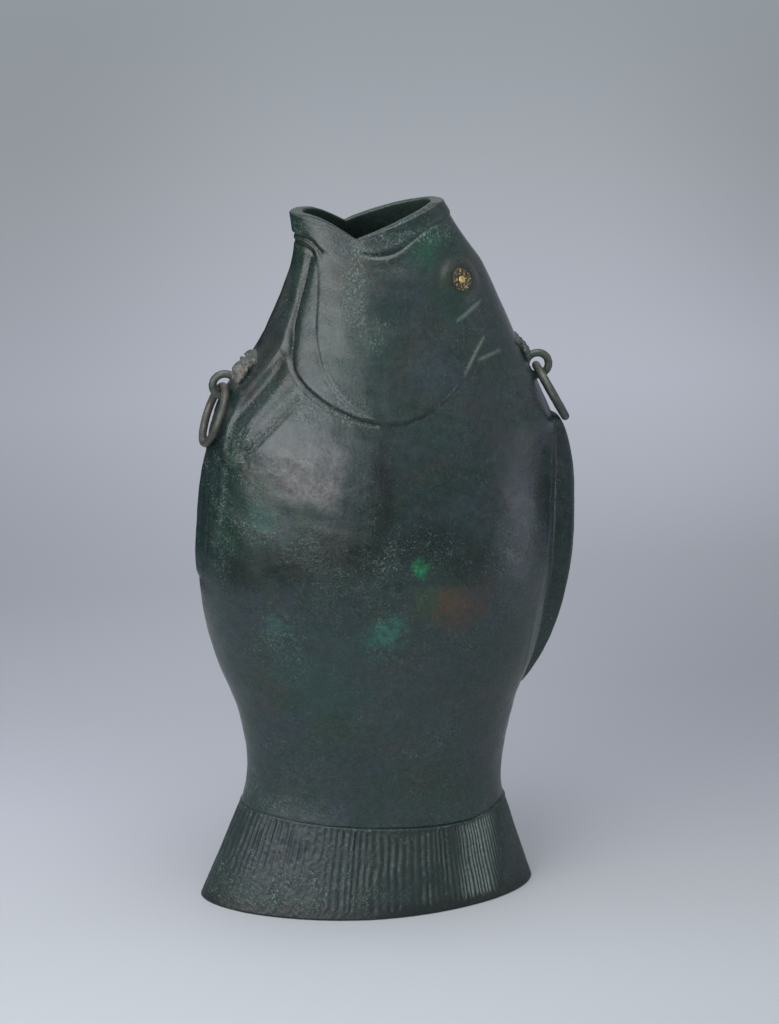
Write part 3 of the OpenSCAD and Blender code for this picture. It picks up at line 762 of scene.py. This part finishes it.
def lug(which, material):
    """An animal mask with a loop in its mouth, in a frame at the loop's centre, +X outwards."""
    side, z, out = LUGS[which]
    loop_r = LOOP_HOLE + LOOP_WIRE

    def reach(h):
        return section(h)[1 if side > 0 else 0]

    def skin(h):
        return reach(z + h) - reach(z) - out

    front = -LOOP_HOLE - 0.15
    nose = np.array([front - 2.2, 0, loop_r + LOOP_WIRE + 1.3])
    brow = np.array([skin(MASK_H) + 0.3, 0, MASK_H - 2.3])
    along = nose - brow
    up = np.array([-along[2], 0, along[0]]) / np.linalg.norm(along)
    up *= np.sign(up[2])

    def on_face(share, rise):
        return brow + along * share + up * rise

    parts = [torus(loop_r, LOOP_WIRE * 0.97)]

    # The head: a wedge from the brow to the nose, then a steep muzzle down to the loop
    for share in np.linspace(0, 1, 9):
        c = brow + along * share
        deep = max(2.6, (c[0] - skin(c[2])) * 0.7 + 1.6)
        half_w = MASK_W / 2 * (1 - 0.5 * share ** 0.8)
        parts.append(ball(c + up * 0.9 - [deep, 0, 0.9], [deep + 0.5, half_w, 2.5]))
    for h in np.linspace(nose[2] - 1.4, -1.0, 7):
        deep = (front - skin(h)) / 2 + 1.1
        parts.append(ball([front - deep, 0, h], [deep, MASK_W * (0.15 + 0.014 * h), 2.4]))
        base = min(skin(h) + 2.1, front - 0.15 if h < 4 else 9)
        parts.append(ball([base - 1.9, 0, h + 1], [1.9, MASK_W * (0.36 + 0.01 * h), 2.8]))
    for s in (-1, 1):
        # Curled brow, round eye, ear, nostril and jaw on each side
        curl = [on_face(t, 0.35 + 0.6 * min(1, 3 * t)) + [0, s * w, 0] for t, w in (
            (0.5, 1.2), (0.22, 1.9), (0.06, 4.2), (0.2, 6.3), (0.42, 5.6), (0.36, 4.2))]
        jaw = [nose + [-2.0, s * 3.5, -1.2], [front - 2.6, s * 4.1, 4.2],
               [front - 2.2, s * 3.3, 0.2]]
        parts += [
            tube(spline(curl, 0.6), [0.55, 0.75, 0.75, 0.6, 0.4]),
            ball(on_face(0.62, 0.65) + [0, s * 3.3, 0], [1.05, 1.05, 1.0]),
            ball(on_face(0.16, -0.4) + [-0.4, s * 6.8, 0], [1.3, 0.9, 1.5]),
            ball(nose + up * 0.1 + [-0.1, s * 1.5, 0.2], [1.0, 0.95, 0.9]),
            tube(spline(jaw, 0.8), [0.6, 0.95, 0.6])]
    for share in np.linspace(0.02, 0.92, 9):
        parts.append(ball(on_face(share, 0.75 + 0.4 * min(1, 3 * share)), [0.55, 0.7, 0.5]))
    v, quads = joined_solid(parts, 0.36)

    # Uneven wear, less of it on the loop
    wear = 0.2 * swell(v, 2.4, 21) + 0.2 * swell(v, 1.3, 22)
    rim = loop_r + LOOP_WIRE
    mask = smoothstep(rim + 0.2, rim + 2.0, np.hypot(v[:, 0], v[:, 2]))
    away = unit(v - [-7.0, 0, 6.0])
    v = v + away * (np.minimum(wear, 0.16) * (0.35 + 0.65 * mask))[:, None]

    centre = [side * (reach(z) + out), 0, z]
    v = v * [side, 1, 1] + centre
    crust = 0.5 * smoothstep(7.0, 8.5, np.hypot(v[:, 0] - centre[0], v[:, 2] - z))
    add_mesh(which + "_lug_mask", v, quads, which + "_lug", material,
             {"pale": crust})


def loose_ring(which, material):
    """A cast ring, slightly uneven, where its CAD ring hangs."""
    low, high = (np.array(c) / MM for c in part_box(which + "_ring"))
    side = LUGS[which][0]
    centre = (low + high) / 2
    tall = (high - low)[2]
    lean = side * math.acos(min(1, (tall - 2 * RING_R) / (2 * RING_TURN)))
    v, faces = torus(RING_TURN, RING_R * 0.985, 160, 28)
    v = np.array(v)
    core = unit(v * [1, 0, 1]) * RING_TURN
    away = (v - core) / RING_R
    v = v + away * np.minimum(0.06 * swell(v, 5, 31) + 0.05 * swell(v, 2.2, 32), 0.03)[:, None]
    y, x, z = v.T
    c, s = math.cos(lean), math.sin(lean)
    v = np.stack([x * c - z * s, y, x * s + z * c], 1) + centre
    add_mesh(which + "_ring_cast", v, faces, which + "_ring", material)


def eye(name, side, leaf, gold):
    """Worn gold leaf round a domed gold pupil, both turned from a profile of radius and height."""
    centre, n = (v * [1, side, 1] for v in eye_frame())
    u = np.cross([0, 0, 1], n)
    u /= np.linalg.norm(u)
    w = np.cross(n, u)
    m = 64

    def lathe(profile):
        return np.array([centre + n * h + r * (math.cos(t) * u + math.sin(t) * w)
                         for r, h in profile for t in turns(m)])

    top, low = SOCKET_TOP, SOCKET_TOP - 1.2
    crown = top + 0.4
    ring = [(1.72, low), (1.72, top - 0.25), (1.85, top - 0.08), (2.2, top), (3.2, top + 0.06),
            (4.3, top + 0.02), (4.75, top - 0.06), (4.95, top - 0.22), (4.95, low)]
    v = lathe(ring)
    v = v + n * (0.05 * swell(v, 1.1, 41))[:, None]
    add_mesh(name + "_inlay_leaf", v, ring_faces(len(ring), m, True), name + "_eye_inlay",
             leaf)
    dome = [(1.62, low), (1.62, top - 0.1), (1.58, top + 0.1), (1.4, top + 0.27),
            (1.05, top + 0.37), (0.5, crown)]
    v = lathe(dome)
    k = len(v)
    v = np.vstack([v, centre + n * crown, centre + n * low])
    faces = ring_faces(len(dome), m)
    faces += [[k - m + j, k - m + (j + 1) % m, k] for j in range(m)]
    faces += [[(j + 1) % m, j, k + 1] for j in range(m)]
    add_mesh(name + "_pupil_dome", v, faces, name + "_pupil", gold)


# Materials

def srgb(r, g, b):
    """A linear colour from the values 0 to 255 that a screen shows."""
    return tuple((v / 255 / 12.92) if v / 255 <= 0.04045 else ((v / 255 + 0.055) / 1.055) ** 2.4
                 for v in (r, g, b)) + (1.0,)


# What lies on the patina: dirt with painted shade, green grains, pale grains, pits, and rubbed
# metal with painted light
DIRT_AND_SHADE, GREEN_GRAIN, PALE_GRAIN = srgb(8, 18, 17), srgb(48, 98, 84), srgb(132, 158, 148)
PIT, RUBBED_AND_PAINTED_LIGHT = srgb(14, 21, 21), srgb(140, 156, 150)


class Graph:
    """A short way to write a node tree. What goes into a socket is a value or a link."""

    def __init__(self, name):
        self.material = bpy.data.materials.new(name)
        self.material.use_nodes = True
        self.tree = self.material.node_tree
        self.tree.nodes.clear()
        self.shader = self.node("ShaderNodeBsdfPrincipled")
        self.out = self.node("ShaderNodeOutputMaterial", {"Surface": self.shader.outputs[0]})
        self.place = self.node("ShaderNodeTexCoord").outputs["Object"]

    def put(self, socket, value):
        if isinstance(value, bpy.types.NodeSocket):
            self.tree.links.new(value, socket)
        else:
            socket.default_value = value

    def node(self, kind, sockets=None, **settings):
        n = self.tree.nodes.new(kind)
        for key, value in settings.items():
            setattr(n, key, value)
        for key, value in (sockets or {}).items():
            self.put(n.inputs[key], value)
        return n

    def mark(self, name):
        return self.node("ShaderNodeAttribute", attribute_name=name).outputs["Fac"]

    def noise(self, per_mm, detail, rough, seed, warp=0.0):
        return self.node("ShaderNodeTexNoise", {
            "Vector": self.place, "W": seed, "Scale": per_mm / MM, "Detail": detail,
            "Roughness": rough, "Distortion": warp}, noise_dimensions="4D").outputs["Fac"]

    def range(self, value, low, high, to_low=0.0, to_high=1.0, kind="SMOOTHSTEP"):
        return self.node("ShaderNodeMapRange", {
            "Value": value, "From Min": low, "From Max": high, "To Min": to_low,
            "To Max": to_high}, clamp=True, interpolation_type=kind).outputs["Result"]

    def maths(self, operation, *values):
        return self.node("ShaderNodeMath", dict(enumerate(values)),
                         operation=operation).outputs[0]

    def times(self, a, b):
        return self.maths("MULTIPLY", a, b)

    def mix(self, share, a, b, blend="MIX"):
        return self.node("ShaderNodeMix", {"Factor": share, 6: a, 7: b}, data_type="RGBA",
                         blend_type=blend).outputs[2]

    def shaded(self, colour, value):
        """A colour multiplied by a number."""
        grey = self.node("ShaderNodeCombineColor", dict.fromkeys(range(3), value))
        return self.mix(1.0, colour, grey.outputs[0], "MULTIPLY")

    def axis(self, name):
        return self.node("ShaderNodeSeparateXYZ", {0: self.place}).outputs[name]

    def distance(self, centre):
        """The distance to a place, both in metres."""
        return self.node("ShaderNodeVectorMath", {0: self.place, 1: centre},
                         operation="DISTANCE").outputs["Value"]

    def spot(self, centre, radius, seed):
        """A ragged, broken blot round a place, in millimetres."""
        d = self.times(self.distance([c * MM for c in centre]), 1 / (radius * MM))
        d = self.maths("MULTIPLY_ADD", self.noise(1.1 / radius, 5, 0.7, seed, 0.5), 3.4, d)
        broken = self.range(self.noise(0.42, 4, 0.7, seed + 0.5), 0.38, 0.6, 0.25, 1.0)
        return self.times(self.range(d, 2.75, 1.85), broken)

    def bump(self, height, distance_mm, normal=None):
        sockets = {"Height": height, "Distance": distance_mm * MM, "Strength": 1.0}
        if normal is not None:
            sockets["Normal"] = normal
        return self.node("ShaderNodeBump", sockets).outputs["Normal"]

    def glow(self, colour, strength=1.0):
        return self.node("ShaderNodeEmission", {
            "Color": colour, "Strength": strength}).outputs[0]


def bronze(name, tones, specks=1.0, spots=(), gloss=0.2, grain=1.0, seed=0.0):
    """Patinated bronze. Tones are its main, light, green, warm and blue colours."""
    g = Graph(name)
    colour, light, green, warm, blue = (srgb(*t) for t in tones)
    pale, dark = g.mark("pale"), g.mark("dark")

    # Clouds of colour, from broad to small: the noise's scale, detail, roughness and warp,
    # where it starts and is full, how strong it is then, and the colour
    clouds = ((0.018, 4, 0.6, 0.4, 0.42, 0.66, 0.8, light),
              (0.016, 5, 0.65, 0.6, 0.48, 0.64, 0.85, green),
              (0.021, 5, 0.65, 0.8, 0.52, 0.68, 0.75, warm),
              (0.019, 5, 0.65, 0.6, 0.52, 0.68, 0.75, blue),
              (0.075, 5, 0.7, 0.5, 0.5, 0.68, 0.6, green),
              (0.09, 5, 0.7, 0.5, 0.54, 0.7, 0.6, warm))
    for i, (scale, detail, rough, warp, start, full, most, tint) in enumerate(clouds, 1):
        cloud = g.noise(scale, detail, rough, seed + i, warp)
        colour = g.mix(g.range(cloud, start, full, 0, most), colour, tint)
    colour = g.shaded(colour, g.range(g.noise(0.3, 6, 0.72, seed + 7), 0.3, 0.7, 0.7, 1.28))
    colour = g.shaded(colour, g.range(g.noise(0.95, 4, 0.7, seed + 16), 0.3, 0.7, 0.78, 1.22))
    for centre, radius, tint, strength in spots:
        share = g.times(g.spot(centre, radius, seed + centre[0]), strength)
        colour = g.mix(share, colour, srgb(*tint))
    # Dirt and painted shade: the dark mark darkens grooves and creases, the shadow under the lower
    # lip, the band across the belly and the tail's foot
    colour = g.mix(g.times(dark, 0.88), colour, DIRT_AND_SHADE)

    # Green and pale grains that lie in clusters and along the marks, and dark pits
    cluster = g.range(g.noise(0.032, 4, 0.68, seed + 8), 0.46, 0.68)
    lift = g.maths("MULTIPLY_ADD", pale, 0.2, g.times(cluster, 0.08))
    teal = g.range(g.maths("ADD", g.noise(0.5, 6, 0.75, seed + 9), lift), 0.66, 0.80)
    colour = g.mix(g.times(teal, 0.6 * specks), colour, GREEN_GRAIN)
    strewn = g.maths("MULTIPLY_ADD", cluster, 0.3 * specks, 0.1 * specks)
    amount = g.times(g.maths("MULTIPLY_ADD", pale, specks, strewn),
                     g.range(g.noise(0.15, 4, 0.7, seed + 11), 0.4, 0.62, 0.38, 1.0))
    grit = g.noise(1.05, 3, 0.68, seed + 10)
    white = g.times(g.range(grit, 0.52, 0.68), amount)
    pits = g.times(g.range(grit, 0.49, 0.36), g.maths("ADD", amount, 0.08))
    colour = g.mix(g.maths("MINIMUM", white, 0.72), colour, PALE_GRAIN)
    colour = g.mix(g.maths("MINIMUM", g.times(pits, 0.8), 0.7), colour, PIT)
    patches = g.range(g.noise(0.7, 4, 0.7, seed + 15), 0.3, 0.6, 0.45, 1.0)
    # Rubbed metal, and painted light: the tail's band of glints, and the wall inside, lightened
    # where it lies in shade
    colour = g.mix(g.times(g.mark("rubbed_and_painted_light"), patches), colour, RUBBED_AND_PAINTED_LIGHT)
    g.put(g.shader.inputs["Base Color"], colour)
    g.shader.inputs["Specular IOR Level"].default_value = 0.75

    crust = g.maths("MINIMUM", g.maths("MAXIMUM", g.times(teal, 0.5), white), 1)
    rough = g.range(g.noise(0.12, 6, 0.7, seed + 17), 0.35, 0.68, gloss, gloss + 0.13)
    g.put(g.shader.inputs["Roughness"], g.maths("ADD", rough, g.times(crust, 0.22)))
    wave = g.bump(g.noise(0.12, 3, 0.5, seed + 13), 0.28 * grain)
    skin = g.bump(g.noise(1.3, 4, 0.65, seed + 14), 0.1 * grain, wave)
    grains = g.maths("SUBTRACT", crust, pits)
    g.put(g.shader.inputs["Normal"], g.bump(grains, 0.09 * grain, skin))
    return g.material


def gold_leaf(name, cover, seed):
    """Gold over dark bronze, worn through where the noise is above cover."""
    g = Graph(name)
    worn = g.range(g.noise(1.1, 4, 0.65, seed), cover - 0.06, cover + 0.06)
    tarnish = g.range(g.noise(0.5, 3, 0.6, seed + 1), 0.35, 0.65)
    tint = g.mix(tarnish, srgb(238, 218, 152), srgb(188, 158, 92))
    ground = g.mix(g.noise(0.7, 4, 0.6, seed + 2), srgb(34, 44, 42), srgb(74, 68, 52))
    rough = g.range(g.noise(1.6, 3, 0.6, seed + 3), 0.3, 0.7, 0.28, 0.5)
    g.put(g.shader.inputs["Base Color"], g.mix(worn, tint, ground))
    g.put(g.shader.inputs["Metallic"], g.range(worn, 0, 1, 0.45, 0.0, "LINEAR"))
    g.put(g.shader.inputs["Roughness"], rough)
    g.put(g.shader.inputs["Normal"], g.bump(g.noise(1.3, 4, 0.6, seed + 4), 0.12))
    return g.material


# Blots of colour on the near side: place, radius, colour and strength
SPOTS = [
    ((-6, -47.5, 138.2), 12, (34, 108, 94), 0.85),
    ((14.6, -48, 155), 15, (54, 76, 40), 0.6),
    ((24, -46, 146), 14, (96, 58, 34), 0.6),
    ((34, -43, 158), 10, (70, 54, 38), 0.5),
    ((6.8, -49.6, 169.2), 5.5, (10, 142, 84), 1.0),
    ((-60.9, -36.1, 190.4), 9, (40, 92, 84), 0.6),
    ((-55, -37.9, 142.3), 9, (40, 96, 86), 0.5),
    ((14, -16, 303), 13, (24, 84, 62), 0.7),
    ((24, -22, 285), 14, (24, 62, 44), 0.6),
    ((-16, -33, 262), 20, (22, 62, 48), 0.6),
    ((-8, -49.5, 196), 13, (24, 50, 34), 0.75),
    ((-12, -49.7, 178), 16, (20, 46, 34), 0.8),
    ((-28, -48.6, 170), 18, (20, 44, 34), 0.8),
    ((-50, -42, 169), 16, (22, 48, 38), 0.7),
    ((-68, -31, 166), 13, (26, 46, 38), 0.7),
    ((12, -49, 174), 18, (28, 54, 42), 0.6),
    ((30, -46, 168), 16, (30, 50, 40), 0.55),
    ((-54, -24, 258), 16, (70, 58, 48), 0.55),
    ((-62, -16, 244), 10, (98, 84, 80), 0.5),
    ((40, -30, 240), 20, (42, 48, 66), 0.5),
    # Painted highlight: a pale lavender grey blot where the belly shows the key lamp
    ((-44, -42, 212), 22, (120, 116, 120), 0.6),
    ((-46, -30, 262), 9, (56, 50, 38), 0.7),
    ((-58, -24, 250), 10, (40, 74, 54), 0.6),
    ((-45, -26, 280), 9, (54, 52, 42), 0.6),
    ((50, -36, 205), 22, (66, 70, 84), 0.4),
    ((28, -46.5, 193), 15, (58, 73, 76), 0.6),
    ((14, -38, 256), 20, (60, 74, 84), 0.6),
    ((-34, -42, 116), 28, (34, 72, 72), 0.55),
    ((-16, -30, 285), 12, (36, 58, 52), 0.5),
]
LUG_SPOTS = [((-66, -6, 249), 8, (146, 130, 128), 0.8), ((-72, 0, 243), 6, (70, 66, 60), 0.5)]
# Main, light, green, warm and blue colour of each kind of piece
BODY_TONES = ((36, 53, 54), (48, 64, 66), (26, 54, 42), (56, 56, 50), (42, 52, 66))
TAIL_TONES = ((17, 37, 38), (25, 47, 48), (18, 44, 36), (34, 43, 34), (25, 40, 52))
FLOOR_TONES = ((36, 46, 45), (46, 56, 54), (30, 52, 42), (52, 50, 46), (40, 46, 54))
LUG_TONES = ((70, 78, 74), (92, 96, 92), (56, 82, 70), (94, 84, 78), (72, 76, 86))
RING_TONES = ((70, 70, 65), (98, 97, 90), (68, 78, 68), (86, 76, 66), (70, 74, 76))

# Pieces

fish_body(bronze("patina_body", BODY_TONES, spots=SPOTS, seed=2.0))
tail_foot(bronze("patina_tail", TAIL_TONES, gloss=0.34, grain=1.2, seed=31.0))
floor_material = bronze("patina_floor", FLOOR_TONES, gloss=0.5, seed=47.0)
for slot in frame["nodes"]["floor_plate"].material_slots:
    slot.material = floor_material
lug_material = bronze("patina_lugs", LUG_TONES, 0.9, LUG_SPOTS, gloss=0.34, grain=1.3, seed=63.0)
ring_material = bronze("patina_rings", RING_TONES, 0.5, gloss=0.34, grain=0.8, seed=85.0)
for which in LUGS:
    lug(which, lug_material)
    loose_ring(which, ring_material)
leaf_material = gold_leaf("worn_gold_leaf", 0.42, 5.0)
pupil_material = gold_leaf("gold_pupil", 0.80, 9.0)
for name, side in (("left", -1), ("right", 1)):
    eye(name, side, leaf_material, pupil_material)

# Stage: a pale floor that grows darker with distance as painted shade, soft lamps and the camera

AIM = Vector((1.7, 0, 177.85)) * MM
CAMERA_TURN, CAMERA_RISE, CAMERA_AWAY = -9.5, 19.5, 2.2
PHOTO_H, FOCAL_PX, SENSOR = 1024, 4990, 24.0
# Colour of the backdrop, and of the floor at distances behind the vessel, in metres; the floor's
# tints paint the studio light's fall with distance
FAR_TINT = (151, 158, 164)
FLOOR_TINTS = [
    (-0.136, (208, 213, 220)), (-0.02, (203, 207, 214)), (0.10, (198, 202, 213)),
    (0.23, (184, 188, 199)), (0.40, (174, 178, 188)), (0.70, (178, 183, 195)),
    (1.12, (167, 171, 179)), (1.65, FAR_TINT)]
# How far the camera's line leans to +X for each metre of depth
VIEW_LEAN = 0.167


def floor_stage():
    """The floor that the camera sees, and the table that lights and shows in the vessel."""
    g = Graph("pale_floor")
    depth, across = g.axis("Y"), g.axis("X")
    near, far = -0.3, 1.9
    ramp = g.node("ShaderNodeValToRGB")
    g.put(ramp.inputs[0], g.range(depth, near, far, kind="LINEAR"))
    elements = ramp.color_ramp.elements
    while len(elements) < len(FLOOR_TINTS):
        elements.new(0.5)
    for e, (y, tint) in zip(elements, FLOOR_TINTS):
        e.position = (y - near) / (far - near)
        e.color = srgb(*tint)

    # Painted shade: it is darker at both edges of the view far away, where the light falls off,
    # and on the right beside the vessel, a painted shadow of the vessel
    aside = g.maths("MULTIPLY_ADD", depth, -VIEW_LEAN, across)
    off = g.maths("ABSOLUTE", g.maths("SUBTRACT", aside, 0.05))
    edges = g.times(g.range(off, 0.08, 0.32, 0, 0.2), g.range(depth, 0.1, 0.5))
    right = g.times(g.range(aside, -0.02, 0.22, 0, 0.27), g.range(depth, 0.55, 0.15))
    right = g.times(right, g.range(depth, -0.16, 0.1, 0.45, 1.0))
    back_right_shade = g.times(g.range(aside, 0.05, 0.3, 0, 0.09), g.range(depth, 0.5, 1.0))
    right = g.maths("ADD", right, back_right_shade)
    fall = g.maths("SUBTRACT", g.maths("SUBTRACT", 1, edges), right)
    away = g.maths("SQRT", g.maths("MULTIPLY_ADD", across, across, g.times(depth, depth)))
    shown = g.mix(g.range(away, 1.0, 2.2), g.shaded(ramp.outputs[0], fall), srgb(*FAR_TINT))

    # The camera sees a pale floor, which glows far away so that no shade falls on it there.
    # The vessel is lit by a pale table of the usual size.
    seen = g.node("ShaderNodeLightPath").outputs["Is Camera Ray"]
    reach = g.maths("SQRT", g.maths("MULTIPLY_ADD", across, g.times(across, 0.6),
                                    g.times(depth, depth)))
    table = g.mix(g.range(reach, 0.31, 0.44), srgb(172, 176, 182), srgb(26, 29, 33))
    g.put(g.shader.inputs["Base Color"], g.mix(seen, table, shown))
    g.shader.inputs["Roughness"].default_value = 0.9
    g.shader.inputs["Specular IOR Level"].default_value = 0.1
    distant = g.maths("MAXIMUM", g.range(depth, 0.15, 0.8), g.range(away, 0.7, 1.4))
    floor_shader = g.node("ShaderNodeMixShader", {
        0: g.times(seen, distant), 1: g.shader.outputs[0], 2: g.glow(shown)})

    # Two lit places of the table that the vessel reflects: one at its right, one far in front
    lit = g.maths("MAXIMUM", g.range(g.distance((0.58, -0.18, 0)), 0.20, 0.10, 0, 2.4),
                  g.times(g.range(reach, 0.62, 0.85, 0, 0.4), g.range(across, -0.15, 0.3)))
    shine = g.glow(srgb(232, 234, 255), g.times(lit, g.maths("SUBTRACT", 1, seen)))
    total = g.node("ShaderNodeAddShader", {0: floor_shader.outputs[0], 1: shine})
    g.put(g.out.inputs["Surface"], total.outputs[0])

    mesh = bpy.data.meshes.new("floor")
    half = 30.0
    corners = [(-half, -half, 0), (half, -half, 0), (half, half, 0), (-half, half, 0)]
    mesh.from_pydata(corners, [], [(0, 1, 2, 3)])
    mesh.materials.append(g.material)
    floor = new_object("floor", mesh)


def from_aim(turn, rise, away):
    """A place seen from the vessel's middle: degrees round it and up, and a distance."""
    turn, rise = math.radians(turn), math.radians(rise)
    return AIM + away * Vector((math.sin(turn) * math.cos(rise),
                                -math.cos(turn) * math.cos(rise), math.sin(rise)))


def lamp(name, turn, rise, away, size, level, roll=0):
    """A soft rectangular lamp, aimed at the vessel's middle, as bright as level whites."""
    data = bpy.data.lights.new(name, "AREA")
    data.shape = "RECTANGLE"
    data.size, data.size_y = size
    data.energy = level * math.pi * size[0] * size[1]
    light = new_object(name, data)
    light.location = from_aim(turn, rise, away)
    facing = (AIM - light.location).to_track_quat("-Z", "Y")
    light.rotation_euler = (facing @ Quaternion((0, 0, 1), math.radians(roll))).to_euler()
    light.visible_camera = False


floor_stage()
lamp("key", -47, 15, 1.35, (1.15, 0.95), 2.65)
lamp("strip", -18, 0.5, 1.25, (0.36, 0.34), 3.6, roll=10)
lamp("fill", 172, 30, 1.9, (1.6, 1.2), 0.4)
lamp("side", 78, 2, 1.4, (0.25, 0.3), 1.2)
lamp("top", -10, 76, 1.8, (1.6, 1.6), 2.7)

# The camera sees the backdrop's colour, and the vessel a darker room
world = bpy.data.worlds.new("studio")
bpy.context.scene.world = world
world.use_nodes = True
tree = world.node_tree
tree.nodes.clear()
path = tree.nodes.new("ShaderNodeLightPath")
either = tree.nodes.new("ShaderNodeMixShader")
tree.links.new(path.outputs["Is Camera Ray"], either.inputs[0])
for socket, tint in zip(either.inputs[1:], ((0.27, 0.285, 0.30, 1), srgb(*FAR_TINT))):
    background = tree.nodes.new("ShaderNodeBackground")
    background.inputs[0].default_value = tint
    tree.links.new(background.outputs[0], socket)
tree.links.new(either.outputs[0], tree.nodes.new("ShaderNodeOutputWorld").inputs[0])

camera_data = bpy.data.cameras.new("camera")
camera_data.sensor_fit = "VERTICAL"
camera_data.sensor_height = SENSOR
camera_data.lens = FOCAL_PX / PHOTO_H * SENSOR
camera_data.clip_start = 0.05
camera = new_object("camera", camera_data)
camera.location = from_aim(CAMERA_TURN, CAMERA_RISE, CAMERA_AWAY)
camera.rotation_euler = (AIM - camera.location).to_track_quat("-Z", "Y").to_euler()
bpy.context.scene.camera = camera
bpy.context.scene.view_settings.view_transform = "Standard"
